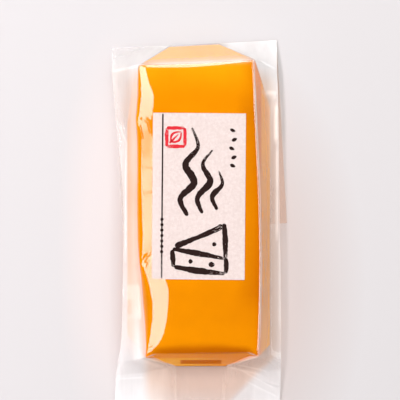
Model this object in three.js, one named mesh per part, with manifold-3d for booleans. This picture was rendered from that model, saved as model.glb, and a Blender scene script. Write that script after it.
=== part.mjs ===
// A slab of smoked cheese sealed in a clear film pack, lying on its back with its label up.
// Millimetres, +Z up. The folded end of the pack is towards +Y, its flat cut end towards -Y.
import * as THREE from 'three';
import { mergeVertices } from 'three/addons/utils/BufferGeometryUtils.js';
import Module from 'manifold-3d';

const wasm = await Module();
wasm.setup();

// Heights
const slabThickness = 12.6;
const filmThickness = 0.5;
const flapThickness = 0.5;
const labelThickness = 0.25;
const labelGap = 0.1;

// The label: its size, its middle on the slab's face and its turn
const labelSize = { width: 37.9, length: 67.8 };
const labelMiddle = { x: -0.5, y: 1.5 };
const labelTurn = THREE.MathUtils.degToRad(-0.5);

// How far the film at the folded end runs back under the slab, and how far that strip leans
const flapLength = 76.6;
const flapLean = 4.4;

// How finely the film is divided along and across the pack
const stepsPerStation = 5;
const faceSteps = 14;
const labelSteps = { across: 8, along: 12 };
const rightRollWidth = 1.6;

// Stations along the film. On each side the rim of the film, the waist of the slab (at the
// corners the crease of the film ear) and the ridge round the slab's face are [x, y, z].
// roll is the width over which the face curves down to its left ridge, and under is the height
// of the lower film below the waist line.
const stations = {
  fold: {
    left: { rim: [-36.9, 63.7, 1.0], waist: [-24.7, 64.3, 1.1], ridge: [-12.6, 64.7, 1.2] },
    right: { ridge: [8.0, 65.6, 1.2], waist: [20.1, 66.3, 1.1], rim: [32.1, 66.9, 1.0] },
  },
  crest: {
    left: { rim: [-36.7, 53.3, 3.5], waist: [-29.3, 54.1, 8.0], ridge: [-21.6, 54.6, 12.3] },
    right: { ridge: [21.8, 57.0, 12.4], waist: [26.8, 55.6, 8.4], rim: [32.0, 53.8, 4.2] },
    roll: 2, under: 1.6,
  },
  shoulder: {
    left: { rim: [-34.9, 32.4, 4.8], waist: [-30.2, 31.0, 6.1], ridge: [-25.8, 33.2, 10.6] },
    right: { ridge: [22.8, 34.7, 12.3], waist: [28.6, 38.1, 6.1], rim: [32.4, 41.5, 4.8] },
    roll: 8.8, under: 5.6,
  },
  middle: {
    left: { rim: [-31.9, 3.3, 5.4], waist: [-30.2, 3.3, 6.1], ridge: [-25.6, 3.3, 10.8] },
    right: { ridge: [24.3, 3.3, 12.2], waist: [28.8, 3.3, 6.1], rim: [33.0, 3.3, 5.2] },
    roll: 8.6, under: 5.6,
  },
  pinch: {
    left: { rim: [-31.9, -26.9, 5.4], waist: [-30.2, -26.9, 6.1], ridge: [-24.6, -26.6, 10.4] },
    right: { ridge: [24.9, -26.5, 12.2], waist: [29.0, -26.9, 6.1], rim: [33.4, -27.0, 5.2] },
    roll: 9.6, under: 5.6,
  },
  heel: {
    left: { rim: [-32.6, -56.0, 5.0], waist: [-30.2, -55.9, 6.1], ridge: [-21.9, -55.4, 9.8] },
    right: { ridge: [24.3, -55.1, 12.2], waist: [29.0, -60.0, 6.1], rim: [33.6, -60.2, 5.0] },
    roll: 13, under: 5.6,
  },
  foot: {
    left: { rim: [-34.1, -67.4, 3.8], waist: [-28.5, -66.3, 6.8], ridge: [-21.7, -64.6, 11.2] },
    right: { ridge: [23.7, -63.6, 12.2], waist: [28.5, -66.8, 7.6], rim: [33.7, -70.8, 3.6] },
    roll: 3, under: 1.6,
  },
  step: {
    left: { rim: [-35.1, -73.5, 2.6], waist: [-22.5, -71.6, 3.6], ridge: [-10.4, -68.9, 5.0] },
    right: { ridge: [10.8, -68.9, 5.0], waist: [22.5, -70.8, 3.6], rim: [33.6, -77.3, 2.4] },
  },
  tail: {
    left: { rim: [-35.6, -83.8, 1.2], waist: [-25.1, -83.8, 1.2], ridge: [-10.5, -83.8, 1.4] },
    right: { ridge: [10.9, -83.8, 1.4], waist: [23.0, -83.8, 1.2], rim: [33.5, -83.8, 1.2] },
  },
  end: {
    left: { rim: [-35.6, -96.0, 0.7], waist: [-25.1, -96.0, 0.7], ridge: [-10.5, -96.0, 0.7] },
    right: { ridge: [10.9, -96.0, 0.7], waist: [23.0, -96.0, 0.7], rim: [33.5, -96.0, 0.7] },
  },
};
const curvedStations = ['crest', 'shoulder', 'middle', 'pinch', 'heel', 'foot'];
const tailStations = ['step', 'tail', 'end'];

const filmMaterial = new THREE.MeshStandardMaterial({ color: 0xf6a019, roughness: 0.15, metalness: 0 });
const paperMaterial = new THREE.MeshStandardMaterial({ color: 0xf6e6de, roughness: 0.9, metalness: 0 });

// A line of the film through the curved stations, sampled evenly from station to station.
function sampleLine(pick) {
  const points = curvedStations.map((name) => new THREE.Vector3(...pick(stations[name])));
  const curve = new THREE.CatmullRomCurve3(points, false, 'centripetal');
  return curve.getPoints(stepsPerStation * (points.length - 1));
}

// One row for every step along the film: its points from the left rim to the right rim, the
// roll width of the face and the height of the lower film below the waist.
function filmRows() {
  const lines = {};
  for (const side of ['left', 'right']) {
    for (const line of ['rim', 'waist', 'ridge']) {
      lines[side + line] = sampleLine((station) => station[side][line]);
    }
  }
  const rowFromStation = (name, onTable) => {
    const { left, right } = stations[name];
    const points = [left.rim, left.waist, left.ridge, right.ridge, right.waist, right.rim];
    return { points: points.map((p) => new THREE.Vector3(...p)), flat: true, onTable };
  };
  const rows = [rowFromStation('fold', true)];
  for (let i = 0; i < lines.leftrim.length; i += 1) {
    const step = Math.min(Math.floor(i / stepsPerStation), curvedStations.length - 2);
    const before = stations[curvedStations[step]];
    const after = stations[curvedStations[step + 1]];
    const share = i / stepsPerStation - step;
    rows.push({
      points: [lines.leftrim[i], lines.leftwaist[i], lines.leftridge[i],
        lines.rightridge[i], lines.rightwaist[i], lines.rightrim[i]],
      roll: THREE.MathUtils.lerp(before.roll, after.roll, share),
      under: THREE.MathUtils.lerp(before.under, after.under, share),
      flat: false,
    });
  }
  tailStations.forEach((name) => rows.push(rowFromStation(name, false)));
  return rows;
}

// Height of the slab's face at a distance in from its left and right ridges.
function faceHeight(fromLeft, fromRight, row) {
  const fade = (distance, width) => Math.max(0, 1 - distance / width) ** 2;
  const leftDrop = (slabThickness - row.points[2].z) * fade(fromLeft, row.roll);
  const rightDrop = (slabThickness - row.points[3].z) * fade(fromRight, rightRollWidth);
  return slabThickness - leftDrop - rightDrop;
}

// The points of the upper film across one row, from the left rim to the right rim.
function upperRow(row) {
  const [leftRim, leftWaist, leftRidge, rightRidge, rightWaist, rightRim] = row.points;
  const face = [];
  for (let i = 1; i < faceSteps; i += 1) {
    const share = 0.5 - 0.5 * Math.cos((Math.PI * i) / faceSteps);
    const point = leftRidge.clone().lerp(rightRidge, share);
    if (!row.flat) point.z = faceHeight(point.x - leftRidge.x, rightRidge.x - point.x, row);
    face.push(point);
  }
  return [leftRim, leftWaist, leftRidge, ...face, rightRidge, rightWaist, rightRim];
}

// The points of the lower film under a row: flat on the table below the slab's face.
function lowerRow(row, upper) {
  const last = upper.length - 1;
  return upper.map((point, i) => {
    const atWaist = i === 1 || i === last - 1;
    const atRim = i === 0 || i === last;
    let z = point.z - filmThickness;
    if (!row.flat && atWaist) z = row.under;
    if (!row.flat && !atWaist && !atRim) z = 0;
    if (row.onTable) z = flapThickness / 2;
    return new THREE.Vector3(point.x, point.y, z);
  });
}

// A closed solid between two grids of points that share one layout.
function solidBetween(upper, lower) {
  const rowCount = upper.length;
  const width = upper[0].length;
  const positions = [...upper.flat(), ...lower.flat()].flatMap((p) => [p.x, p.y, p.z]);
  const top = (r, c) => r * width + c;
  const bottom = (r, c) => (rowCount + r) * width + c;
  const index = [];
  const quad = (a, b, c, d) => index.push(a, b, c, a, c, d);
  for (let r = 0; r < rowCount - 1; r += 1) {
    for (let c = 0; c < width - 1; c += 1) {
      const turned = c >= width / 2;
      if (turned) {
        quad(top(r, c), top(r + 1, c), top(r + 1, c + 1), top(r, c + 1));
        quad(bottom(r, c + 1), bottom(r + 1, c + 1), bottom(r + 1, c), bottom(r, c));
      } else {
        quad(top(r, c + 1), top(r, c), top(r + 1, c), top(r + 1, c + 1));
        quad(bottom(r, c), bottom(r, c + 1), bottom(r + 1, c + 1), bottom(r + 1, c));
      }
    }
    quad(top(r + 1, 0), top(r, 0), bottom(r, 0), bottom(r + 1, 0));
    quad(top(r, width - 1), top(r + 1, width - 1), bottom(r + 1, width - 1), bottom(r, width - 1));
  }
  const last = rowCount - 1;
  for (let c = 0; c < width - 1; c += 1) {
    quad(top(0, c), top(0, c + 1), bottom(0, c + 1), bottom(0, c));
    quad(top(last, c + 1), top(last, c), bottom(last, c), bottom(last, c + 1));
  }
  const geometry = new THREE.BufferGeometry();
  geometry.setAttribute('position', new THREE.Float32BufferAttribute(positions, 3));
  geometry.setIndex(index);
  return geometry;
}

// The strip of film folded back under the slab, as a thin plate on the table.
function foldedFlap() {
  const { left, right } = stations.fold;
  const corner = (x, y) => new THREE.Vector2(x, y);
  const outline = new THREE.Shape([
    corner(left.rim[0], left.rim[1]),
    corner(left.rim[0] + flapLean, left.rim[1] - flapLength),
    corner(right.rim[0] + flapLean, right.rim[1] - flapLength),
    corner(right.rim[0], right.rim[1]),
  ]);
  return new THREE.ExtrudeGeometry(outline, { depth: flapThickness, bevelEnabled: false });
}

// Turn a closed mesh into a solid that can be joined with others, and back.
function toSolid(geometry) {
  const bare = geometry.clone();
  bare.deleteAttribute('normal');
  bare.deleteAttribute('uv');
  const merged = mergeVertices(bare);
  return new wasm.Manifold(new wasm.Mesh({
    numProp: 3,
    vertProperties: new Float32Array(merged.attributes.position.array),
    triVerts: new Uint32Array(merged.index.array),
  }));
}

function toGeometry(solid) {
  const mesh = solid.getMesh();
  const geometry = new THREE.BufferGeometry();
  geometry.setAttribute('position', new THREE.BufferAttribute(mesh.vertProperties, 3));
  geometry.setIndex(new THREE.BufferAttribute(mesh.triVerts, 1));
  geometry.computeVertexNormals();
  return geometry;
}

// Height of the slab's face under a point of the label.
function faceHeightAt(x, y, rows) {
  const curved = rows.filter((row) => !row.flat);
  const after = curved.findIndex((row) => row.points[2].y < y);
  const heights = [curved[after - 1], curved[after]].map((row) => {
    const [, , leftRidge, rightRidge] = row.points;
    return faceHeight(x - leftRidge.x, rightRidge.x - x, row);
  });
  const span = curved[after - 1].points[2].y - curved[after].points[2].y;
  return THREE.MathUtils.lerp(heights[0], heights[1], (curved[after - 1].points[2].y - y) / span);
}

// The paper label, bent over the slab's face with a small gap under it.
function labelGeometry(rows) {
  const upper = [];
  const lower = [];
  for (let r = 0; r <= labelSteps.along; r += 1) {
    upper.push([]);
    lower.push([]);
    for (let c = 0; c <= labelSteps.across; c += 1) {
      const u = (c / labelSteps.across - 0.5) * labelSize.width;
      const v = (0.5 - r / labelSteps.along) * labelSize.length;
      const x = labelMiddle.x + u * Math.cos(labelTurn) - v * Math.sin(labelTurn);
      const y = labelMiddle.y + u * Math.sin(labelTurn) + v * Math.cos(labelTurn);
      const z = faceHeightAt(x, y, rows) + labelGap;
      upper[r].push(new THREE.Vector3(x, y, z + labelThickness));
      lower[r].push(new THREE.Vector3(x, y, z));
    }
  }
  return solidBetween(upper, lower);
}

function namedMesh(name, geometry, material) {
  const mesh = new THREE.Mesh(geometry, material);
  mesh.name = name;
  return mesh;
}

const rows = filmRows();
const upperFilm = rows.map(upperRow);
const lowerFilm = rows.map((row, i) => lowerRow(row, upperFilm[i]));
const pack = toSolid(solidBetween(upperFilm, lowerFilm)).add(toSolid(foldedFlap()));

const object = new THREE.Group();
object.add(namedMesh('film_pack', toGeometry(pack), filmMaterial));
object.add(namedMesh('label', labelGeometry(rows), paperMaterial));

// The origin is under the middle of the whole pack.
const middle = new THREE.Box3().setFromObject(object).getCenter(new THREE.Vector3());
object.position.set(-middle.x, -middle.y, 0);
object.updateMatrixWorld(true);

export default object;
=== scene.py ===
# A slab of smoked cheese in a clear film pack: the film, the slab inside it and the paper label.
# Sizes are in millimetres on the pack's own drawing, and turned into metres at the end.
import math
import random

import bpy
import numpy as np
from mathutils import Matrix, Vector
from mathutils.bvhtree import BVHTree


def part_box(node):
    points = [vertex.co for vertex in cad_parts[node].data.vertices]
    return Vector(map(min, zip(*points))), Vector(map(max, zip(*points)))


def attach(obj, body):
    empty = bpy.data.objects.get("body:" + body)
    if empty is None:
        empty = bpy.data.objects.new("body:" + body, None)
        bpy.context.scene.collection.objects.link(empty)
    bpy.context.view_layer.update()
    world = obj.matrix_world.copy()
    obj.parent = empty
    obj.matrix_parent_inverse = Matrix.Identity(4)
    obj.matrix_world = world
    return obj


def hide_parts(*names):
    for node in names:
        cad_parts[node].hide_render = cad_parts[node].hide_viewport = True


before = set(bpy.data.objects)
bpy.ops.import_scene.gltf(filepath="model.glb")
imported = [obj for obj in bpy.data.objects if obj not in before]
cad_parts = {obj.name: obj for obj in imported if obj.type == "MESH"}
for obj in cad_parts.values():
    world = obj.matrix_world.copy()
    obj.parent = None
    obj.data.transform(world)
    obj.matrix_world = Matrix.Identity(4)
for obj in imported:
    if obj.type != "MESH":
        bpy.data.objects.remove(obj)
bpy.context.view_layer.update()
MM = 0.001

# The slab's thickness, the camera's height and what a pixel of the picture covers on the table
SLAB, CAMERA_HEIGHT, PIXEL = 12.6, 420.0, 0.42

# Stations along the film: [x, y, z] of its left rim, waist line and ridge, and then of its right
# ridge, waist line and rim
STATIONS = {
    "fold": ([-36.9, 63.7, 1], [-24.7, 64.3, 1.1], [-12.6, 64.7, 1.2],
             [8, 65.6, 1.2], [20.1, 66.3, 1.1], [32.1, 66.9, 1]),
    "crest": ([-36.7, 53.3, 3.5], [-30.5, 54, 7.2], [-25.2, 54.9, 10.6],
              [21.8, 57, 12.4], [26.8, 55.6, 8.4], [32, 53.8, 4.2]),
    "shoulder": ([-34.9, 32.4, 4.8], [-30.2, 31, 6.1], [-26.2, 33.2, 10.6],
                 [22.8, 34.7, 12.3], [28.6, 38.1, 6.1], [32.4, 41.5, 4.8]),
    "middle": ([-31.9, 3.3, 5.4], [-30.2, 3.3, 6.1], [-25.8, 3.3, 9.4],
               [24.3, 3.3, 12.2], [28.8, 3.3, 6.1], [33, 3.3, 5.2]),
    "pinch": ([-31.9, -26.9, 5.4], [-30.2, -26.9, 6.1], [-24.8, -26.6, 10],
              [24.9, -26.5, 12.2], [29, -26.9, 6.1], [33.4, -27, 5.2]),
    "heel": ([-32.6, -56, 5], [-30.2, -55.9, 6.1], [-22.3, -55.4, 9],
             [24.3, -55.1, 12.2], [29, -60, 6.1], [33.6, -60.2, 5]),
    "foot": ([-34.1, -67.4, 3.8], [-28.5, -66.3, 6.8], [-22, -64.4, 11.8],
             [23.7, -63.6, 12.2], [28.5, -66.8, 7.6], [33.7, -70.8, 3.6]),
    "step": ([-35.1, -73.5, 2.6], [-22.5, -71.6, 3.6], [-10.4, -68.9, 5],
             [10.8, -68.9, 5], [22.5, -70.8, 3.6], [33.6, -77.3, 2.4]),
    "tail": ([-35.6, -83.8, 1.2], [-25.1, -83.8, 1.2], [-10.5, -83.8, 1.4],
             [10.9, -83.8, 1.4], [23, -83.8, 1.2], [33.5, -83.8, 1.2]),
}
# The cut end: as wide as the tail, and flat
STATIONS["end"] = [[x, -96.0, 0.7] for x, _, _ in STATIONS["tail"]]
NAMES = list(STATIONS)
POINTS = np.array([STATIONS[name] for name in NAMES])
FOLD, CREST, FOOT, STEP, TAIL, END = (NAMES.index(n) for n in
                                      ("fold", "crest", "foot", "step", "tail", "end"))

# The drawing's origin is under the camera. The pack's box says where that is in the frame, as the
# fold is at its left and at its top.
pack_low, pack_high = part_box("film_pack")
SHIFT = np.array([pack_low.x / MM - POINTS[FOLD, 0, 0],
                  pack_high.y / MM - POINTS[FOLD, -1, 1], 0.0])

# The face rolls over its left edge. For some y: where the roll begins, where a steep strip begins
# and where the film leaves the slab, at the ridge.
LEFT_EDGE = np.array([
    [54.9, -22.2, -24.9, -25.2], [52.4, -21.9, -24.7, -25.3], [48.3, -20.9, -24.2, -25.5],
    [42.8, -18.8, -24.3, -25.6], [39.3, -18.9, -24.6, -25.9], [36, -19.3, -25, -26.1],
    [33.6, -19.7, -25.7, -26.3], [31.9, -20, -25.8, -26.2], [28.7, -19.6, -24.6, -26],
    [24.6, -18.6, -24.3, -25.8], [14.3, -18, -24.3, -25.7], [4.1, -18, -24.3, -25.8],
    [-6.1, -18, -24, -25.8], [-16.4, -17.8, -23.7, -25.6], [-21.7, -17.4, -24, -25.2],
    [-26.2, -16.1, -24.5, -24.8], [-29.1, -14.7, -23, -24.6], [-32.8, -13.7, -21.8, -24.3],
    [-36.4, -12.6, -20.9, -24], [-42.2, -12.6, -19.8, -23.7], [-47.9, -13.2, -19.8, -23.1],
    [-54.1, -14.4, -20.3, -22.5], [-59.4, -16.9, -21.3, -22.2], [-64.3, -21.4, -21.7, -22.1],
])[::-1]
# The roll's slope where it begins and where the strip begins, the strip's mean slope, and how far
# ahead of the roll the face begins to bend, as a share of the roll's width
ROLL_SLOPE, EDGE_SLOPE, STRIP_SLOPE, ROLL_LEAD = 0.22, 0.285, 0.75, 0.6
# The bend at the right edge: its two slopes and the widths of its lead and its band
RIGHT_SLOPES, RIGHT_LEAD, RIGHT_BAND = (0.33, 0.42), 0.35, 0.8
# The face also rolls over its top end, in a band that is widest at one place, and its bottom end
CREST_SLOPES = (0.265, 0.37)
CREST_BAND, CREST_LEAD, CREST_MIDDLE, CREST_HALF, CREST_LEAST = 1.9, 0.6, -4.0, 27.0, 0.25
FOOT_SLOPE, FOOT_BAND = 0.34, 5.5
# These two rolls come in over some millimetres from the left ridge, the foot's partly at once
ENDS_FADE, FOOT_START = 4.0, 0.45
# The foot line is drawn up between its corners
FOOT_BOW, FOOT_MIDDLE, FOOT_HALF, FOOT_CORNER = 1.6, 0.85, 22.8, 4.0

# Rows of the film mesh between one station and the next, crowded towards the crest by a power,
# and its columns in each section
ROWS_BETWEEN = [26, 56, 56, 60, 58, 28, 28, 30, 44]
ROW_POWER = 1.6
RIM, SIDE, STRIP, ROLL, LEAD, FACE, BEND = 8, 16, 8, 14, 6, 28, 12
RIDGE = RIM + SIDE
FACE_COLUMNS = [STRIP, ROLL, LEAD, FACE, BEND]
ON_FACE = slice(RIDGE, -RIDGE)
# How many times the bends are softened
SOFTENING = 3

# Haze and gloss at the stations: at the left rim, waist, side and ridge, on the face, and at the
# right ridge, side, waist and rim
HAZE = {
    "fold": [0.15, 0.22, 0.35, 0.45, 0.25, 0.4, 0.5, 0.6, 0.6],
    "crest": [0.34, 0.44, 0.56, 0.55, 0, 0.26, 0.2, 0.65, 0.65],
    "shoulder": [0.17, 0.27, 0.5, 0.48, 0, 0.24, 0.26, 0.42, 0.5],
    "middle": [0.36, 0.34, 0.48, 0.42, 0, 0.24, 0.3, 0.24, 0.28],
    "pinch": [0.4, 0.42, 0.52, 0.44, 0, 0.26, 0.3, 0.24, 0.28],
    "heel": [0.45, 0.52, 0.74, 0.4, 0, 0.24, 0.3, 0.26, 0.26],
    "foot": [0.4, 0.48, 0.8, 0.44, 0, 0.24, 0.3, 0.3, 0.28],
    "step": [0.45, 0.45, 0.4, 0.2, 0.11, 0.2, 0.28, 0.4, 0.4],
    "tail": [0.75, 0.75, 0.6, 0.3, 0.28, 0.3, 0.3, 0.55, 0.6],
    "end": [0.75, 0.75, 0.6, 0.3, 0.28, 0.3, 0.4, 0.55, 0.6],
}
# Haze of the facet above the crest, on top of the table's, growing towards the crest
TOP_HAZE = 0.22
# Clear boxes in the low facet, where the film lies close: left, right, bottom, top, edge
CLEAR_BOXES = [(-8.2, 9.0, -68.0, -65.8, 0.2), (-10.5, 11.0, -69.1, -68.2, 0.2)]
GLOSS = {
    "fold": [0, 0, 0.2, 0.8, 0.8, 0.8, 0.8, 0.5, 0.4],
    "crest": [0.15, 0.2, 0.8, 1, 1.1, 1.5, 0.6, 0.5, 0.4],
    "shoulder": [0.05, 0.1, 0.7, 0.9, 0.84, 2.6, 0.6, 0.6, 0.5],
    "middle": [0.08, 0.15, 0.7, 0.8, 0.72, 2.6, 0.6, 0.6, 0.5],
    "pinch": [0.3, 0.4, 0.2, 0.8, 0.82, 3.2, 0.6, 0.6, 0.5],
    "heel": [0.3, 0.2, 0.05, 0.8, 0.88, 3.7, 0.6, 0.6, 0.5],
    "foot": [0.4, 0.2, 0.2, 0.8, 0.75, 2.4, 0.6, 0.6, 0.5],
    "step": [0.4, 0.4, 0.4, 0.3, 0.1, 0.3, 0.5, 0.5, 0.5],
    "tail": [0.4, 0.4, 0.4, 0.5, 0.5, 0.5, 0.5, 0.5, 0.5],
    "end": [0.4, 0.4, 0.4, 0.5, 0.5, 0.5, 0.5, 0.5, 0.5],
}
# Where the tables' values hold: in columns out from the ridges, and as shares of a side from its
# waist
LEFT_RIDGE, LEFT_FACE, RIGHT_RIDGE, RIGHT_SIDE = 0.5, -1.5, 0.6, 1.8
SIDE_MIDDLES = (0.6, 0.4)
# The columns by which the right ridge's value reaches into the face, and its share in full
HAZE_REACH, GLOSS_REACH, FULL_REACH = 1.5, BEND, 0.4
HIGHEST_HAZE, HIGHEST_GLOSS = 0.9, 6.0
# Duller places of the shine on the left edge: points, half width and change
DULL_SPOTS = [
    ([(-22, 29.5), (-21.5, 24), (-22, 16)], 3, -0.4),
    ([(-24.2, 13.6), (-18.5, 12.9)], 0.55, -0.35),
    ([(-24.2, 2.7), (-18.5, 3.3)], 0.55, -0.35),
    ([(-22.5, -21.5), (-17.5, -17)], 1.2, -0.25),
]

# Lines at the right of the tail that are streaks and creases
TAIL_LINES = ([(11.6, -69.3), (25.6, -73)], [(14.9, -68.1), (28.1, -71.3)],
              [(16.5, -70.5), (31.5, -78.8)], [(19, -75.5), (32.5, -82.5)])
# Streaks where the film is strained white, or clear where it sticks to the slab, and painted
# highlights along the crest, the ridges and the slab's bottom corners: points, half width in
# millimetres and the change of haze
STREAKS_AND_HIGHLIGHTS = [
    # Painted highlight along the crest, and a wider painted glow above it
    ([(-21.6, 55.3), (-8.2, 55.9), (0, 56.1), (21.6, 57.1)], 0.8, 0.35),
    ([(-23, 56.2), (-8.2, 56.9), (0, 57.2), (22.5, 58)], 1.6, 0.12),
    ([(-36, 53.6), (-22.3, 55.4)], 0.6, 0.25),
    ([(22.2, 58.5), (31.5, 54.2)], 0.6, 0.25),
    ([(26.6, 44.5), (32, 44)], 1.6, 0.35),
    ([(31.6, 40), (31.6, 24)], 0.8, 0.4),
    ([(31.9, 24), (31.9, -16.6)], 0.45, 0.3),
    ([(33.4, -16.6), (33.4, -53.9)], 0.4, 0.2),
    ([(-34.6, 34), (-30.6, 23.6), (-30.9, 10), (-30.9, -25.7)], 0.35, 0.2),
    ([(-34.2, 20.7), (-34.2, -41.5)], 0.3, 0.12),
    ([(-32.7, 20.7), (-32.7, -37.3)], 0.3, 0.12),
    # Painted highlight along the lower left ridge
    ([(-24.7, -27), (-24, -38), (-23, -49), (-22, -63)], 0.3, 0.18),
    # Painted highlight along the right ridge, over its real gloss
    ([(21.8, 56.6), (22.8, 34.7), (24.4, 3.3), (24.9, -26.5), (24.4, -55.1), (23.7, -63.2)],
     0.3, 0.5),
    # Painted highlights along the slab's bottom corners
    ([(-22, -64.6), (-10.4, -68.8)], 0.28, 0.4),
    ([(10.8, -68.8), (23.8, -64)], 0.28, 0.4),
    ([(-18.4, -62.9), (-21.9, -64.3)], 0.28, 0.4),
    ([(20, -62.5), (23.3, -63.8)], 0.28, 0.4),
    ([(-35.6, -74.6), (-23, -73.6)], 0.7, 0.15),
    ([(-10.2, -69.4), (-10.2, -96)], 0.3, 0.14),
    ([(-6.8, -69.4), (-6.8, -96)], 0.25, 0.1),
    ([(-3.9, -69.4), (-3.9, -96)], 0.25, 0.1),
    ([(9.9, -69.4), (10.1, -96)], 0.5, 0.12),
    *((line, 0.4, amount) for line, amount in zip(TAIL_LINES, (0.1, 0.1, 0.08, 0.08))),
]

# Creases of the upper film: points, half width and height of the fold, in millimetres
CREASES = [
    ([(-34.6, 34), (-30.5, 23.6), (-30.9, 10), (-30.9, -25.7)], 0.35, 0.16),
    ([(-34.4, 20.7), (-34.4, -41.5)], 0.35, 0.08),
    ([(-26.5, 33.6), (-34, 32.8)], 0.5, 0.12),
    ([(-32.8, -29.9), (-31.9, -41.5)], 0.45, 0.14),
    ([(-29.9, -41.5), (-28.6, -47.7)], 0.4, 0.14),
    ([(-29.9, -57.2), (-26.5, -58.5), (-23.6, -60.6)], 0.5, 0.16),
    ([(-24.9, 33.5), (-22.5, 33.3), (-21.1, 31.9), (-20.2, 28.6), (-19.8, 26)], 0.5, 0.14),
    ([(-24.9, 31.1), (-23.3, 24.5)], 0.4, 0.1),
    ([(-23.7, -25.4), (-20.4, -21.3)], 0.45, 0.14),
    ([(-23.3, -27.8), (-20.9, -23.7)], 0.4, -0.1),
    ([(31.5, 41.5), (31.5, -16.6)], 0.5, 0.22),
    ([(26.6, 44), (32.4, 44)], 0.7, 0.25),
    ([(-10.3, -69.5), (-10.3, -96)], 0.35, 0.12),
    ([(-6.8, -69.5), (-6.8, -96)], 0.35, -0.08),
    ([(-3.9, -69.5), (-3.9, -96)], 0.35, 0.08),
    ([(9.6, -69.5), (9.6, -96)], 0.35, 0.1),
    ([(-21, -71.5), (-9, -71.2), (16, -71.7)], 0.5, 0.06),
    ([(-20, -73.6), (-2, -73.4), (19, -74.2)], 0.5, -0.06),
    ([(-19, -76.2), (4, -76), (17, -76.8)], 0.5, 0.06),
    ([(-18, -78.9), (0, -78.6), (15, -79.3)], 0.5, -0.05),
    *((line, 0.6, height) for line, height in zip(TAIL_LINES, (-0.12, 0.1, -0.1, -0.08))),
    ([(23.5, -74.5), (33.9, -77.9)], 0.6, 0.18),
    ([(-35.2, -73.7), (-22.6, -72.9)], 0.6, 0.2),
]

# Streaks and creases fade in from their ends: how steeply, and what there is at the very end
STREAK_FADE, CREASE_FADE = (6, 0.3), (6, 0.15)

# The seal across the cut end: its top, its width, its soft edge, and its ribs' pitch and height
SEAL_TOP, SEAL_BAND, SEAL_EDGE, SEAL_PITCH, SEAL_RIB = -86.5, 8.0, 0.6, 2.0, 0.20

# Heights of the lower film at some stations, at its waist lines and under the face, and its least
# gap to the upper film
WAIST_HEIGHTS = {"fold": 0.3, "crest": 1.6, "shoulder": 5.7, "heel": 5.7, "foot": 1.6,
                 "step": 3.5, "end": 0.3}
BACK_HEIGHTS = {"fold": 0.3, "foot": 0.3, "step": 4.9, "tail": 1.1, "end": 0.4}
FILM_GAP = 0.06
# What the lower film has of the upper film's values
LOWER_SHARES = {"haze": 0.1, "gloss": 0.0, "painted_warmth": 0.6}
# A width that is never divided by anything less, and a height above everything
LEAST, ABOVE = 0.01, 100.0


def to_world(points):
    """Points of the drawing in metres, in the frame."""
    return (np.asarray(points, float) + SHIFT) * MM


def between(a, b, share):
    """A mix of two values, by the share of the second."""
    return a * (1 - share) + b * share


def curve(share, here, there, leave, arrive):
    """A smooth way from here to there, which leaves and arrives in given directions."""
    s2, s3 = share ** 2, share ** 3
    return ((2 * s3 - 3 * s2 + 1) * here + (s3 - 2 * s2 + share) * leave
            + (3 * s2 - 2 * s3) * there + (s3 - s2) * arrive)


def along(t):
    """The six lines of the film at places t along the stations: smooth round the slab's face,
    straight at the two ends."""
    step = np.clip(np.floor(t).astype(int), 0, len(NAMES) - 2)
    share = (t - step)[:, None, None]
    before = POINTS[np.maximum(step - 1, CREST)]
    after = POINTS[np.minimum(step + 2, FOOT)]
    here, there = POINTS[step], POINTS[step + 1]
    leave, arrive = (there - before) / 2, (after - here) / 2
    leave = np.where((step == CREST)[:, None, None], there - here, leave)
    arrive = np.where((step + 1 == FOOT)[:, None, None], there - here, arrive)
    on_face = ((step >= CREST) & (step < FOOT))[:, None, None]
    return np.where(on_face, curve(share, here, there, leave, arrive), between(here, there, share))


def film_rows():
    """Places along the stations, one for each row of the film mesh."""
    parts = [np.arange(n) / n + i for i, n in enumerate(ROWS_BETWEEN)]
    parts[CREST] = (parts[CREST] - CREST) ** ROW_POWER + CREST
    parts[FOLD] = CREST - (CREST - parts[FOLD]) ** ROW_POWER
    return np.concatenate(parts + [[len(ROWS_BETWEEN)]])


def steps(stops, counts):
    """Points in even steps from stop to stop, without the last stop, for each row of stops."""
    return np.concatenate([a[..., None, :] + (b - a)[..., None, :] * (np.arange(n) / n)[:, None]
                           for a, b, n in zip(stops, stops[1:], counts)], axis=-2)


def bend_drop(run, width, slope, end_slope):
    """How far a surface drops on a run into a bend, which takes it evenly from one slope to
    another over a width."""
    run = np.clip(run, 0, width)
    return slope * run + (end_slope - slope) / 2 * run ** 2 / np.maximum(width, LEAST)


def roll_drop(gap, slopes, lead, band):
    """How far a surface drops at a gap from its edge: it bends over a lead to the first slope,
    then on to the second slope over a band that ends at the edge."""
    low, high = slopes
    return bend_drop(band + lead - gap, lead, 0, low) + bend_drop(band - gap, band, low, high)


def ridge_line(station, x):
    """The y of the straight line between the two ridges of a station."""
    (left_x, left_y, _), (right_x, right_y, _) = POINTS[station][2:4]
    return left_y + (x - left_x) / (right_x - left_x) * (right_y - left_y)


def end_rolls(x, y):
    """How far the face drops towards its top end and its bottom end."""
    band = CREST_BAND * np.clip(1 - ((x - CREST_MIDDLE) / CREST_HALF) ** 2, CREST_LEAST, 1)
    to_crest, to_foot = ridge_line(CREST, x) - y, y - ridge_line(FOOT, x)
    return (roll_drop(to_crest, CREST_SLOPES, CREST_LEAD, band),
            bend_drop(FOOT_BAND - to_foot, FOOT_BAND, 0, FOOT_SLOPE))


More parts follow.
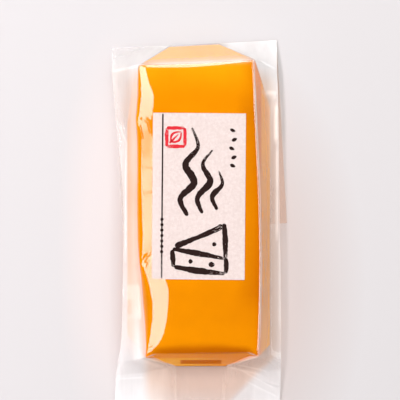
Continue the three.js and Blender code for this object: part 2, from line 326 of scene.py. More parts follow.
def face_rows(lines):
    """Rows of points over the slab's face, rolled over the left edge and bent at the right."""
    left, right = lines[:, 2, None], lines[:, 3, None]
    edge = right[..., 0]
    roll, strip, ridge = (np.interp(left[..., 1], LEFT_EDGE[:, 0], LEFT_EDGE[:, i])
                          for i in (1, 2, 3))
    lead = roll + ROLL_LEAD * (roll - strip)
    stops = [ridge, strip, roll, lead, edge - RIGHT_LEAD - RIGHT_BAND, edge]
    x = steps(stops, FACE_COLUMNS)[..., 0]
    share = (x - ridge) / (edge - ridge)
    y = between(left[..., 1], right[..., 1], share)
    drop = bend_drop(lead - x, lead - roll, 0, ROLL_SLOPE)
    drop += bend_drop(roll - x, roll - strip, ROLL_SLOPE, EDGE_SLOPE)
    drop += bend_drop(strip - x, strip - ridge, EDGE_SLOPE, 2 * STRIP_SLOPE - EDGE_SLOPE)
    drop += roll_drop(edge - x, RIGHT_SLOPES, RIGHT_LEAD, RIGHT_BAND)
    crest_drop, foot_drop = end_rolls(x, y)
    from_ridge = (x - ridge) / ENDS_FADE
    drop += crest_drop * np.clip(from_ridge, 0, 1)
    drop += foot_drop * np.clip(from_ridge + FOOT_START, 0, 1)
    return np.stack([x, y, SLAB - drop], -1)


def ramp(low, high, value):
    """A smooth step: 0 where a range begins and before that, 1 where it ends and past that."""
    share = np.clip((value - low) / (high - low), 0, 1)
    return share * share * (3 - 2 * share)


def foot_bow(x):
    """How far the foot line is drawn up between its two corners."""
    return FOOT_BOW * ramp(0, FOOT_CORNER, FOOT_HALF - np.abs(x - FOOT_MIDDLE))


def whole_rows(lines, face):
    """Whole rows of the film, from the lines along it and the points of its face."""
    left = steps([lines[:, 0], lines[:, 1], face[:, 0]], [RIM, SIDE])
    right = steps([lines[:, 3], lines[:, 4], lines[:, 5]], [SIDE, RIM])
    return np.concatenate([left, face, right, lines[:, 5:]], axis=1)


def straight_rows(lines, row):
    """Whole rows of the film where it has no slab below, with the face columns of another row."""
    face = row[ON_FACE, 0]
    shares = ((face - face[0]) / (face[-1] - face[0]))[None, :-1, None]
    return whole_rows(lines, between(lines[:, 2, None], lines[:, 3, None], shares))


def soften(grid, passes):
    """Takes the sharpness off the heights, with the border kept."""
    z = grid[..., 2]
    for _ in range(passes):
        z[1:-1] = (z[:-2] + 2 * z[1:-1] + z[2:]) / 4
        z[:, 1:-1] = (z[:, :-2] + 2 * z[:, 1:-1] + z[:, 2:]) / 4
    return grid


def distance_to_line(x, y, points):
    """Distance from places to a chain of points, and how far along the chain the nearest is."""
    best, best_along = np.full(x.shape, 1e9), np.zeros(x.shape)
    lengths = [math.dist(a, b) for a, b in zip(points, points[1:])]
    total, done = sum(lengths), 0.0
    for (ax, ay), (bx, by), length in zip(points, points[1:], lengths):
        share = np.clip(((x - ax) * (bx - ax) + (y - ay) * (by - ay)) / length ** 2, 0, 1)
        gap = np.hypot(x - ax - share * (bx - ax), y - ay - share * (by - ay))
        nearer = gap < best
        best = np.where(nearer, gap, best)
        best_along = np.where(nearer, (done + share * length) / total, best_along)
        done += length
    return best, best_along


def seal_ribs(grid):
    """Fine ribs across the film where its cut end is sealed."""
    depth = SEAL_TOP - grid[..., 1]
    band = ramp(0, SEAL_EDGE, depth) * ramp(SEAL_BAND, SEAL_BAND - SEAL_EDGE, depth)
    grid[..., 2] += band * SEAL_RIB * (0.5 - 0.5 * np.cos(2 * math.pi * depth / SEAL_PITCH))
    return grid


def line_strength(grid, points, width, fade):
    """How strongly a line shows at each place: soft to its sides and faded to its ends."""
    gap, place = distance_to_line(grid[..., 0], grid[..., 1], points)
    steep, least = fade
    ends = np.clip(np.minimum(place, 1 - place) * steep + least, 0, 1)
    return ends * np.exp(-(gap / width) ** 2)


def press_creases(grid):
    """Folds the film up or down along each crease."""
    for points, width, height in CREASES:
        grid[..., 2] += height * line_strength(grid, points, width, CREASE_FADE)
    return grid


def upper_film():
    """The upper film as a grid of points, and the places of its rows along the stations."""
    t = film_rows()
    lines = along(t)
    on_slab = (t >= CREST) & (t <= FOOT)
    grid = np.zeros((len(t), 2 * RIDGE + sum(FACE_COLUMNS) + 1, 3))
    grid[on_slab] = whole_rows(lines[on_slab], face_rows(lines[on_slab]))
    crest_row, foot_row = grid[t == CREST][0], grid[t == FOOT][0]
    fold_row = straight_rows(POINTS[[FOLD]], crest_row)[0]
    ends = straight_rows(POINTS[[STEP, TAIL, END]], foot_row)
    for begin, first, last in ((FOLD, fold_row, crest_row), (FOOT, foot_row, ends[0]),
                               (STEP, ends[0], ends[1]), (TAIL, ends[1], ends[2])):
        rows = (t >= begin) & (t <= begin + 1)
        share = (t[rows] - begin)[:, None, None]
        grid[rows] = between(first, last, share)
    soften(grid, SOFTENING)
    near_foot = np.interp(t, [FOOT - 1, FOOT, STEP], [0, 1, 0])[:, None]
    grid[:, ON_FACE, 1] += near_foot * foot_bow(grid[:, ON_FACE, 0])
    press_creases(grid)
    return t, seal_ribs(grid)


def film_values(t, columns, source, reach):
    """A value of the film as a grid, from its table at the stations. The right ridge's value
    reaches some columns into the face."""
    last = columns - 1
    right = last - RIDGE
    left_middle, right_middle = (RIM + SIDE * share for share in SIDE_MIDDLES)
    stops = [0, RIM, left_middle, RIDGE - LEFT_RIDGE, RIDGE - LEFT_FACE,
             right - reach, right - FULL_REACH * reach, right + RIGHT_RIDGE, right + RIGHT_SIDE,
             last - right_middle, last - RIM, last]
    table = np.array([source[name] for name in NAMES])
    lines = np.array([np.interp(t, np.arange(len(NAMES)), column) for column in table.T])
    # A value stands here twice where it holds from one column to another
    known = lines[[0, 1, 2, 3, 4, 4, 5, 5, 6, 6, 7, 8]].T
    return np.array([np.interp(np.arange(columns), stops, row) for row in known])


def add_streaks(values, grid, streaks, highest):
    """Adds streaks to a value of the film, which stays between 0 and the highest."""
    for points, width, amount in streaks:
        values += amount * line_strength(grid, points, width, STREAK_FADE)
    return np.clip(values, 0, highest)


def clear_boxes(haze, grid):
    """Takes the haze out of the clear boxes."""
    x, y = grid[..., 0], grid[..., 1]
    for left, right, bottom, top, edge in CLEAR_BOXES:
        haze *= 1 - ramp(0, edge, np.min([x - left, right - x, y - bottom, top - y], axis=0))
    return haze


def heights_along(t, heights):
    """Heights at places along the stations, from those known at some of them."""
    return np.interp(t, [NAMES.index(name) for name in heights], list(heights.values()))


def lower_film(t, upper):
    """The lower film under the upper one: flat below the slab, close to it at the rims."""
    lower = upper.copy()
    last = upper.shape[1] - 1
    waists, backs = heights_along(t, WAIST_HEIGHTS), heights_along(t, BACK_HEIGHTS)
    known = [0, RIM, RIDGE, last - RIDGE, last - RIM, last]
    for row, (waist, back) in enumerate(zip(waists, backs)):
        z = upper[row, :, 2] - FILM_GAP
        values = [z[0], min(waist, z[RIM]), back, back, min(waist, z[last - RIM]), z[-1]]
        lower[row, :, 2] = np.minimum(np.interp(np.arange(last + 1), known, values), z)
    return lower


def add_object(name, data):
    """A new object in the scene."""
    made = bpy.data.objects.new(name, data)
    bpy.context.scene.collection.objects.link(made)
    return made


def add_piece(name, verts, faces):
    """A new mesh in the scene."""
    mesh = bpy.data.meshes.new(name)
    mesh.from_pydata(verts, [], faces)
    mesh.update()
    return add_object(name, mesh)


def grid_faces(index):
    """The faces between the points of a grid."""
    corners = [index[:-1, :-1], index[1:, :-1], index[1:, 1:], index[:-1, 1:]]
    return np.stack(corners, -1).reshape(-1, 4)


def closed_faces(rows, columns, start=0):
    """The faces of two grids joined along their four sides, and their points along the sides.
    The lower grid's points come straight after the upper grid's."""
    index = np.arange(rows * columns).reshape(rows, columns) + start
    low = rows * columns
    top = grid_faces(index)
    ring = np.concatenate([index[0, :], index[1:, -1], index[-1, -2::-1], index[-2:0:-1, 0]])
    after = np.roll(ring, -1)
    side = np.stack([ring, after, after + low, ring + low], -1)
    faces = np.concatenate([top, top[:, [0, 3, 2, 1]] + low, side])
    return faces.tolist(), {*ring.tolist(), *(ring + low).tolist()}


def grid_mesh(name, upper, lower):
    """A closed smooth mesh from two grids of one layout, with sharp edges round both."""
    verts = to_world(np.concatenate([upper.reshape(-1, 3), lower.reshape(-1, 3)]))
    faces, border = closed_faces(*upper.shape[:2])
    piece = add_piece(name, verts.tolist(), faces)
    mesh = piece.data
    mesh.polygons.foreach_set("use_smooth", [True] * len(mesh.polygons))
    sharp = [e.vertices[0] in border and e.vertices[1] in border for e in mesh.edges]
    mesh.edges.foreach_set("use_edge_sharp", sharp)
    mesh.update()
    return piece


def set_values(piece, name, values):
    """A number for each point of a piece, for its material to read."""
    data = piece.data.attributes.new(name, "FLOAT", "POINT")
    data.data.foreach_set("value", np.asarray(values, np.float32))


def set_film_values(name, values):
    """A number for each point of the film, given for its upper side."""
    values = values.ravel()
    set_values(film, name, np.concatenate([values, LOWER_SHARES[name] * values]))


def surface_tree(grid):
    """A surface that heights can be looked up on."""
    quads = grid_faces(np.arange(grid[..., 0].size).reshape(grid.shape[:2]))
    return BVHTree.FromPolygons(to_world(grid.reshape(-1, 3)).tolist(), quads.tolist())


def heights_at(tree, x, y):
    """Heights of a surface over places of the drawing, in millimetres."""
    hits = [tree.ray_cast(Vector(to_world([a, b, ABOVE])), Vector((0, 0, -1)))
            for a, b in zip(x.ravel(), y.ravel())]
    return np.reshape([hit[0].z / MM for hit in hits], x.shape)


# The slab's outline at its widest, from the top end to the bottom end on either side
SLAB_LEFT = [(-12.7, 64), (-24.7, 55), (-27.8, 45.5), (-30, 31), (-30, -55.9),
             (-21.9, -64.6), (-10.3, -68.85)]
SLAB_RIGHT = [(8, 65.1), (22.3, 57.8), (26, 47.2), (28.9, 38.1), (28.9, -59.8),
              (23.7, -64), (10.8, -68.85)]
OUTLINE = SLAB_LEFT + SLAB_RIGHT[::-1] + SLAB_LEFT[:1]


def off_slab(x, y):
    """How far places lie outside the slab's outline, or less than 0 within it."""
    gap, _ = distance_to_line(x, y, OUTLINE)
    inside = np.zeros(x.shape, bool)
    for (ax, ay), (bx, by) in zip(OUTLINE, OUTLINE[1:]):
        if ay != by:
            inside ^= ((ay > y) != (by > y)) & (x < ax + (y - ay) * (bx - ax) / (by - ay))
    return np.where(inside, -gap, gap)


# Patches of a value: each has an amount, and the ranges of x and of y over which it comes in.
# White film in the top right corner, and on the tail right of a slanting line
WHITE_EAR = [(0.66, [(4, 14)], [(41, 44)])]
WHITE_TAIL = [(0.42, [], [(-67, -72)])]
# Painted warm light on the film beside the slab: near it, at the left shoulder and in the left ear
WARM_ENDS = [(56, 48), (-70, -62)]
WARM_SIDES = [(0.55, [], WARM_ENDS), (0.5, [(0, -20)], [(28, 38), *WARM_ENDS])]
WARM_EAR = [(0.32, [(-26, -30)], [(57, 53), (26, 36)])]
# Painted warm light and shade on the tail, a warm painted shadow of the slab, and painted warm
# light on the film over the slab
WARM_TAIL = [(1.0, [(-25, -20)], [(-60, -66)])]
WARM_OVER = [(0.12, [], []), (0.28, [(-22, -25)], []), (0.12, [(-22, -25)], [(-25, -40)]),
             (-0.32, [(-22, -25)], [(-42, -52)]), (0.8, [], [(-62, -64)]),
             (0.9, [(22, 23.5)], [])]
# Darker cheese behind the clear slot of the low facet, and painted shade low on the face
DEEP_SLOT = [(0.75, [(-8.2, -7.9), (9.0, 8.7)], [(-65.8, -66.0), (-67.9, -67.7)])]
SHADE_LOW = [(0.12, [], [(-33, -40), (-55, -48)])]
# Painted light on the cheese: lighter up the face, past its top end, at its left and right edges
# and on the low facet
PAINTED_LIGHT = [(0.5, [(22, 16)], [(40, 56)]), (0.85, [], [(55.5, 59)]),
         (0.4, [(-24.5, -26)], [(52, 46)]), (1.0, [(24.8, 25.6)], []),
         (0.8, [(16, -8)], [(-64.5, -65.5)])]
SLOT_SHADE = 0.8

# The slanting line on the tail: a point of it, its slant, and the ranges over which the white
# film begins and the painted warm light ends at it
TAIL_X, TAIL_Y, TAIL_SLANT = 22.0, -73.0, 0.95
TAIL_WHITE, TAIL_WARM, EAR_EDGE = (-1, 3), (3, -1), (-0.35, 0.05)


def patches(table, x, y):
    """The sum of a table's patches at some places."""
    total = np.zeros(x.shape)
    for amount, x_ranges, y_ranges in table:
        part = np.full(x.shape, amount)
        for low, high in x_ranges:
            part *= ramp(low, high, x)
        for low, high in y_ranges:
            part *= ramp(low, high, y)
        total += part
    return total


def past_tail_line(x, y):
    """How far places lie to the right of a slanting line on the tail."""
    return x - TAIL_X + TAIL_SLANT * (TAIL_Y - y)


def white_film(grid):
    """The white film off the slab in the top right corner and right of a line on the tail."""
    x, y = grid[..., 0], grid[..., 1]
    ear = patches(WHITE_EAR, x, y) * ramp(*EAR_EDGE, off_slab(x, y))
    tail = patches(WHITE_TAIL, x, y) * ramp(*TAIL_WHITE, past_tail_line(x, y))
    return np.maximum(ear, tail)


t_rows, upper = upper_film()
lower = lower_film(t_rows, upper)
film = grid_mesh("film", upper, lower)
haze = film_values(t_rows, upper.shape[1], HAZE, HAZE_REACH)
top_rows = t_rows < CREST
haze[top_rows, ON_FACE] += TOP_HAZE * t_rows[top_rows, None]
haze = clear_boxes(add_streaks(haze, upper, STREAKS_AND_HIGHLIGHTS, HIGHEST_HAZE), upper)
haze = np.maximum(haze, white_film(upper))
gloss = film_values(t_rows, upper.shape[1], GLOSS, GLOSS_REACH)
gloss = add_streaks(gloss, upper, DULL_SPOTS, HIGHEST_GLOSS)
set_film_values("haze", haze)
set_film_values("gloss", gloss)
upper_tree = surface_tree(upper)

# Rows of the slab's mesh from point to point of its outline, and one at the end
SLAB_ROWS = [20, 16, 20, 110, 20, 24, 1]
SLAB_COLUMNS = 100
# The slab's gap to the film, the height of its back, the height of its lower side at the outline
# and how steeply that goes down inwards, and its least thickness
SLAB_GAP, SLAB_BACK, SLAB_WAIST, SLAB_UNDERCUT, SLAB_LEAST = 0.15, 0.45, 6.0, 1.6, 0.05


def make_slab():
    """The slab: its upper side lies close under the film and its lower side is undercut."""
    left, right = (steps(np.array(side + side[-1:]), SLAB_ROWS)
                   for side in (SLAB_LEFT, SLAB_RIGHT))
    even = np.linspace(0, 1, SLAB_COLUMNS + 1)
    share = (even / 2 + (1 - np.cos(math.pi * even)) / 4)[None, :, None]
    flat = between(left[:, None, :], right[:, None, :], share)
    x, y = flat[..., 0], flat[..., 1]
    z = heights_at(upper_tree, x, y) - SLAB_GAP
    inside, _ = distance_to_line(x, y, OUTLINE)
    low = np.minimum(z - SLAB_LEAST, SLAB_WAIST - SLAB_UNDERCUT * inside)
    return grid_mesh("slab", np.stack([x, y, z], -1),
                     np.stack([x, y, np.maximum(SLAB_BACK, low)], -1))


slab = make_slab()

FLAP_CORNERS = ((-36.9, 63.7), (32.1, 66.9), (36.5, -9.7), (-32.5, -12.9))
FLAP_CELLS = (40, 24)
# Its thickness and height over the table, and its ripple: how high and how fine
FLAP_FILM, RIPPLE, RIPPLE_ACROSS, RIPPLE_DOWN = 0.08, 0.06, 0.4, 0.7
# Its values, on the left and on the right where there are two; its warmth is painted warm light
# and shade
FLAP_HAZE, FLAP_WARMTH, FLAP_GLOSS = (0.25, 0.12), (0.1, 0.75), 0.3


def make_flap():
    """The strip of film folded back under the slab, nearly flat."""
    down = np.linspace(0, 1, FLAP_CELLS[0])[:, None, None]
    across = np.linspace(0, 1, FLAP_CELLS[1])[None, :, None]
    a, b, c, d = (np.array(corner) for corner in FLAP_CORNERS)
    flat = between(between(a, b, across), between(d, c, across), down)
    x, y = flat[..., 0], flat[..., 1]
    ripple = RIPPLE * np.sin(y * RIPPLE_DOWN) * np.sin(x * RIPPLE_ACROSS + 1)
    low = np.stack([x, y, FLAP_FILM + ripple], -1)
    return grid_mesh("film_flap", low + [0, 0, FLAP_FILM], low)


flap = make_flap()
flap_points = 2 * FLAP_CELLS[0] * FLAP_CELLS[1]
on_left = np.arange(flap_points) % FLAP_CELLS[1] < FLAP_CELLS[1] / 2
set_values(flap, "haze", np.where(on_left, *FLAP_HAZE))
set_values(flap, "gloss", np.full(flap_points, FLAP_GLOSS))
set_values(flap, "painted_warmth", np.where(on_left, *FLAP_WARMTH))

# The painted warm light fades with the gap to the slab, fast at its sides and slowly on the
# tail. At the sides it grows a little from left to right.
NEAR_REACH, FAR_REACH = (6.5, 1.5), (26.0, 9.0)
WARM_CHANGE, WARM_HALF = [(0.25, [], WARM_ENDS)], 20


def slab_painted_warmth(grid):
    """How much painted warm light and shade the film gets, for the light that the slab lets
    through.
    """
    x, y = grid[..., 0], grid[..., 1]
    gap = off_slab(x, y)
    near, far = (np.clip((gap - none) / (full - none), 0, 1)
                 for none, full in (NEAR_REACH, FAR_REACH))
    beside = patches(WARM_SIDES, x, y)
    beside += patches(WARM_CHANGE, x, y) * np.clip(x / WARM_HALF, -1, 1)
    beside = np.maximum(near * beside, patches(WARM_EAR, x, y))
    below = far * patches(WARM_TAIL, x, y) * ramp(*TAIL_WARM, past_tail_line(x, y))
    over = np.clip(patches(WARM_OVER, x, y), 0, 1)
    return np.where(gap < 0, over, np.maximum(beside, below))


set_film_values("painted_warmth", slab_painted_warmth(upper))

# Painted shade in a band right of the label: its depth, where it comes in, and what share of it
# goes over a range past the label's ends and at the slab's edge
BAND_SHADE, BAND, BAND_ENDS, BAND_EDGE = 0.57, (12, 24), (0.8, 34, 50), (0.7, 24.6, 25.4)
# Painted shade at the foot: its line, the range before it, what goes past it, how much closer the
# range is at the corners, and how suddenly it ends there
FOOT_LINE, FOOT_RANGE, FOOT_PAST, FOOT_CLOSER, FOOT_ENDS = -64.0, (5.4, 0.4), (0.95, 0, -1), 0.7, 6


def less(share, low, high, value):
    """What is left as a share of something goes over a range."""
    return 1 - share * ramp(low, high, value)


def paint_slab_light_and_shade(piece):
    """Painted shade beside the label, at the foot and low on the face, a darker slot, and painted
    light.
    """
    points = np.array([v.co[:] for v in piece.data.vertices]) / MM - SHIFT
    x, y = points[:, 0], points[:, 1]
    beside = BAND_SHADE * ramp(*BAND, x) * less(*BAND_ENDS, np.abs(y)) * less(*BAND_EDGE, x)
    aside = np.clip(np.abs(x - FOOT_MIDDLE) / FOOT_HALF, 0, 1)
    to_foot = (y - FOOT_LINE - foot_bow(x)) * (1 + FOOT_CLOSER * aside ** 2)
    foot = ramp(*FOOT_RANGE, to_foot) * (1 - aside ** FOOT_ENDS) * less(*FOOT_PAST, to_foot)
    slot = patches(DEEP_SLOT, x, y)
    set_values(piece, "painted_shade", np.clip(beside + foot + slot + patches(SHADE_LOW, x, y), 0, 1))
    set_values(piece, "light", patches(PAINTED_LIGHT, x, y) - SLOT_SHADE * slot)


paint_slab_light_and_shade(slab)

LABEL_SIZE = (37.9, 67.8)
LABEL_MIDDLE = (-0.5, 1.5)
LABEL_TURN = math.radians(-0.5)
LABEL_CELLS = (44, 76)
# Heights of the paper's upper and lower side over the film
LABEL_LIFTS = (0.2, 0.05)


def on_label(u, v):
    """A place on the label, from its middle, on the drawing."""
    x = LABEL_MIDDLE[0] + u * math.cos(LABEL_TURN) - v * math.sin(LABEL_TURN)
    y = LABEL_MIDDLE[1] + u * math.sin(LABEL_TURN) + v * math.cos(LABEL_TURN)
    return x, y


def make_label():
    """The paper label, bent over the film."""
    u, v = np.meshgrid(np.linspace(-0.5, 0.5, LABEL_CELLS[0]) * LABEL_SIZE[0],
                       np.linspace(0.5, -0.5, LABEL_CELLS[1]) * LABEL_SIZE[1])
    x, y = on_label(u, v)
    z = heights_at(upper_tree, x, y)
    high, low = (np.stack([x, y, z + lift], -1) for lift in LABEL_LIFTS)
    return grid_mesh("label_paper", high, low), surface_tree(high)


label, label_tree = make_label()


def add_node(tree, kind, **values):
    """A shader node with values for its properties and for its inputs, by name."""
    node = tree.nodes.new("ShaderNode" + kind)
    for key, value in values.items():
        if hasattr(node, key):
            setattr(node, key, value)
        else:
            node.inputs[key.replace("_", " ")].default_value = value
    return node


def feed(tree, sockets, values):
    """Gives each socket a number, a colour, an output or a node, for its first output."""
    for socket, value in zip(sockets, values):
        if isinstance(value, tuple):
            socket.default_value = (*value, 1)
        elif isinstance(value, (int, float)):
            socket.default_value = value
        else:
            tree.links.new(getattr(value, "outputs", [value])[0], socket)


def math_node(tree, operation, *inputs):
    """A sum on numbers or outputs, as a node."""
    node = add_node(tree, "Math", operation=operation)
    feed(tree, node.inputs, inputs)
    return node


def scaled(tree, value, share, offset):
    """A share of a value, on top of an offset."""
    return math_node(tree, "MULTIPLY_ADD", value, share, offset)


def attribute(tree, name):
    """The numbers that a piece has for its points."""
    return add_node(tree, "Attribute", attribute_name=name).outputs["Fac"]


def mix_colour(tree, share, one, two):
    """A mix of two colours."""
    node = add_node(tree, "Mix", data_type="RGBA")
    feed(tree, [node.inputs[key] for key in ("Factor", "A", "B")], (share, one, two))
    return node.outputs["Result"]


def mix_shader(tree, share, one, two):
    """A mix of two shaders."""
    node = add_node(tree, "MixShader")
    feed(tree, node.inputs, (share, one, two))
    return node


def noise(tree, place, stretch=(1, 1, 1), **values):
    """Procedural noise at a place, with its axes stretched."""
    mapping = add_node(tree, "Mapping", Scale=stretch)
    node = add_node(tree, "TexNoise", **values)
    feed(tree, (mapping.inputs["Vector"], node.inputs["Vector"]), (place, mapping))
    return node


def add_bumps(tree, shader, height, strength, distance):
    """Bumps on a shader's surface."""
    bump = add_node(tree, "Bump", Strength=strength, Distance=distance)
    feed(tree, (bump.inputs["Height"], shader.inputs["Normal"]), (height, bump))


def plain_shader(tree, colour, roughness, specular):
    """A surface with a colour that may come from other nodes."""
    shader = add_node(tree, "BsdfPrincipled", Roughness=roughness, Specular_IOR_Level=specular)
    feed(tree, [shader.inputs["Base Color"]], [colour])
    return shader


def make_material(name, surface_of, *values):
    """A material with the surface that a function makes, from places in metres."""
    material = bpy.data.materials.new(name)
    material.use_nodes = True
    tree = material.node_tree
    tree.nodes.clear()
    surface = surface_of(tree, add_node(tree, "TexCoord").outputs["Object"], *values)
    feed(tree, [add_node(tree, "OutputMaterial").inputs["Surface"]], [surface])
    return material


# The film's gloss face on, what it gains towards the rims, and how late it gains it
FILM_GLOSS, RIM_GLOSS, GLOSS_POWER = 0.06, 0.6, 5.0
# The warm colours are painted warm light and shade, for light let through the slab
MILK, WARM_MILK = (0.97, 0.96, 0.955), (0.97, 0.78, 0.66)
CLEAR, WARM_CLEAR = (0.998, 0.998, 0.998), (0.995, 0.93, 0.89)
# Haze varies from a base by fine streaks and by clouds, and gloss from a base by patches
HAZE_BASE, HAZE_STREAKS, HAZE_CLOUDS = 0.74, 0.10, 0.42
GLOSS_BASE, GLOSS_PATCHES = 0.85, 0.3


def clear_film(tree, place):
    """Clear film: see-through, milky by its haze, glossy by the angle it is seen at."""
    streaks = noise(tree, place, (1, 0.05, 0.3), Scale=1500.0, Detail=2.0)
    clouds = noise(tree, place, (1, 0.4, 1), Scale=110.0, Detail=2.0)
    uneven = scaled(tree, streaks, HAZE_STREAKS, HAZE_BASE)
    uneven = scaled(tree, clouds, HAZE_CLOUDS, uneven)
    share = math_node(tree, "MULTIPLY", attribute(tree, "haze"), uneven)
    # Painted warm light and shade: the clear and milky colours turn warm by the painted warmth
    painted_warmth = attribute(tree, "painted_warmth")
    clear, milk = add_node(tree, "BsdfTransparent"), add_node(tree, "BsdfDiffuse")
    feed(tree, (clear.inputs["Color"], milk.inputs["Color"]),
         (mix_colour(tree, painted_warmth, CLEAR, WARM_CLEAR), mix_colour(tree, painted_warmth, MILK, WARM_MILK)))
    milky = mix_shader(tree, share, clear, milk)
    gloss = add_node(tree, "BsdfGlossy", Roughness=0.05)
    add_bumps(tree, gloss, streaks, 0.03, 0.00004)
    facing = add_node(tree, "LayerWeight", Blend=0.5).outputs["Facing"]
    shine = math_node(tree, "POWER", facing, GLOSS_POWER)
    shine = scaled(tree, shine, RIM_GLOSS, FILM_GLOSS)
    patchy = noise(tree, place, (1, 0.3, 1), Scale=260.0, Detail=2.0)
    shine = math_node(tree, "MULTIPLY", shine, attribute(tree, "gloss"))
    shine = math_node(tree, "MULTIPLY", shine, scaled(tree, patchy, GLOSS_PATCHES, GLOSS_BASE))
    return mix_shader(tree, shine, milky, gloss)


# The deep colour serves the painted shade and the mottling and grain; the lit colour is painted
# light
CHEESE, CHEESE_SHADE_AND_MOTTLE = (0.765, 0.258, 0.0003), (0.49, 0.122, 0.0002)
CHEESE_LIT = (0.86, 0.44, 0.005)
# How much deeper the mottling and the grain make the cheese, on top of the painted shade, less
# an offset
MOTTLE_SHARE, GRAIN_SHARE, DEEP_OFFSET = 0.5, 0.16, -0.28


def smoked_cheese(tree, place):
    """Smooth smoked cheese: warm orange, with painted shade and light in places, faint mottling
    and grain.
    """
    mottle = noise(tree, place, Scale=60.0, Detail=5.0, Roughness=0.55)
    grain = noise(tree, place, Scale=1900.0, Detail=3.0, Roughness=0.6)
    share = math_node(tree, "ADD", attribute(tree, "painted_shade"), DEEP_OFFSET)
    share = scaled(tree, grain, GRAIN_SHARE, scaled(tree, mottle, MOTTLE_SHARE, share))
    colour = mix_colour(tree, attribute(tree, "light"), CHEESE, CHEESE_LIT)
    colour = mix_colour(tree, share, colour, CHEESE_SHADE_AND_MOTTLE)
    shader = plain_shader(tree, colour, 0.5, 0.01)
    add_bumps(tree, shader, grain, 0.3, 0.00008)
    return shader


PAPER, PAPER_FIBRE = (0.68, 0.57, 0.532), (0.815, 0.725, 0.687)
PAPER_SPECK = (0.60, 0.47, 0.43)
# Paleness comes from the felt and the fibres, less an offset
FELT_SHARE, FIBRE_SHARE, PALE_OFFSET, FIBRE_WIDTH = 2.0, 0.4, -0.85, 0.018
# Specks are where their noise is above a level
SPECK_LEVEL, SPECK_SHARE = 0.74, 0.35


def soft_paper(tree, place):
    """Soft handmade paper: pale fibres, a few darker specks and a slightly felted surface."""
    felt = noise(tree, place, Scale=800.0, Detail=6.0, Roughness=0.7)
    thread = noise(tree, place, (1, 0.35, 1), Scale=900.0, Detail=2.0, Distortion=2.5)
    speck = noise(tree, place, Scale=1500.0, Detail=1.0)
    line = math_node(tree, "ABSOLUTE", math_node(tree, "ADD", thread, -0.5))
    fibre = math_node(tree, "LESS_THAN", line, FIBRE_WIDTH)
    share = scaled(tree, felt, FELT_SHARE, scaled(tree, fibre, FIBRE_SHARE, PALE_OFFSET))
    dark = math_node(tree, "GREATER_THAN", speck, SPECK_LEVEL)
    dark = math_node(tree, "MULTIPLY", dark, SPECK_SHARE)
    colour = mix_colour(tree, share, PAPER, PAPER_FIBRE)
    shader = plain_shader(tree, mix_colour(tree, dark, colour, PAPER_SPECK), 0.9, 0.1)
    add_bumps(tree, shader, share, 0.7, 0.00012)
    return shader


# How much of a stroke's end may be dry
DRY_SHARE = 0.26


def brushed_paint(tree, place, colour, thin_colour, cover):
    """Ink or stamp paint: dense, with dry gaps that show the paper where the brush ran out."""
    brushed = add_node(tree, "CombineXYZ")
    feed(tree, brushed.inputs, (attribute(tree, "across"), attribute(tree, "along")))
    hairs = noise(tree, brushed, (4.0, 0.35, 1), Scale=1.4, Detail=3.0)
    dry = scaled(tree, attribute(tree, "dry"), DRY_SHARE, 1 - cover)
    gaps = math_node(tree, "LESS_THAN", hairs, dry)
    pool = noise(tree, place, Scale=700.0, Detail=4.0)
    shader = plain_shader(tree, mix_colour(tree, pool, colour, thin_colour), 0.8, 0.05)
    bare = add_node(tree, "BsdfTransparent")
    return mix_shader(tree, gaps, shader, bare)


FLOOR = (0.60, 0.583, 0.582)
# Painted light and shade on the floor: a lighter warm spot at the left and a darker warm spot, a
# painted shadow, at the right: middle and reach on the drawing, and colour
PAINTED_FLOOR_SPOTS = [((-37.0, -18.0), (23.0, 90.0), (0.652, 0.603, 0.594)),
               ((14.0, -35.0), (56.0, 100.0), (0.55, 0.49, 0.47))]


def white_table(tree, place):
    """A white table with painted warm light round the pack, for light through the cheese, and a
    painted shadow at its right.
    """
    colour = FLOOR
    # Painted light and shade: each spot mixes the floor towards a lighter or a darker warm tone
    for middle, reach, warm in PAINTED_FLOOR_SPOTS:
        mapping = add_node(tree, "Mapping", vector_type="TEXTURE",
                           Location=to_world([*middle, 0.0]),
                           Scale=(reach[0] * MM, reach[1] * MM, 1))
        spot = add_node(tree, "TexGradient", gradient_type="SPHERICAL")
        feed(tree, (mapping.inputs["Vector"], spot.inputs["Vector"]), (place, mapping))
        share = math_node(tree, "MULTIPLY", spot.outputs["Fac"], 2.0)
        share = math_node(tree, "MINIMUM", share, 1.0)
        colour = mix_colour(tree, share, colour, warm)
    return plain_shader(tree, colour, 0.9, 0.1)


# The label's brushwork: strokes as points from the label's middle, with the stroke's full width
# at its start, middle and end
SMOKE = [
    ([(-4.5, -8), (-7.5, -1), (-2, 5.5), (-5.5, 13), (-0.5, 20), (-3, 28)],
     (1.6, 3.2, 0.7)),
    ([(1.5, -7), (-0.5, -0.5), (4.5, 6), (1.5, 13), (5.5, 19)], (1.4, 2.8, 0.6)),
    ([(7.5, -5.5), (5.5, 0), (9.5, 5), (8, 10.5)], (1.2, 2.3, 0.5)),
]
WEDGE = [
    ([(-9.5, -20.5), (-3, -17.8), (4, -14.9), (10, -11.9)], (2.6, 1.8, 2.4)),
    ([(10.4, -11), (10.9, -17), (11.1, -25.2)], (1.6, 2.4, 1.6)),
    ([(-10.5, -21.5), (-3, -22.8), (4, -24), (11.5, -25.5)], (1.4, 2.6, 1)),
    ([(-10.6, -21.8), (-10.4, -25), (-10, -28.9)], (1.6, 2.2, 1.5)),
    ([(-9.8, -28.8), (0, -30.3), (11, -31.4)], (1.6, 2.8, 1.3)),
    ([(11.2, -25), (11.5, -28), (11.3, -31.4)], (1.6, 2.1, 1.4)),
    ([(-4, -26.4), (-2.2, -26.6)], (1.6, 2, 1.2)),
    ([(4.2, -27.6), (6.8, -28)], (1.7, 2.3, 1.3)),
    ([(5.6, -19.3), (7.4, -19.7)], (1.4, 1.8, 1)),
]
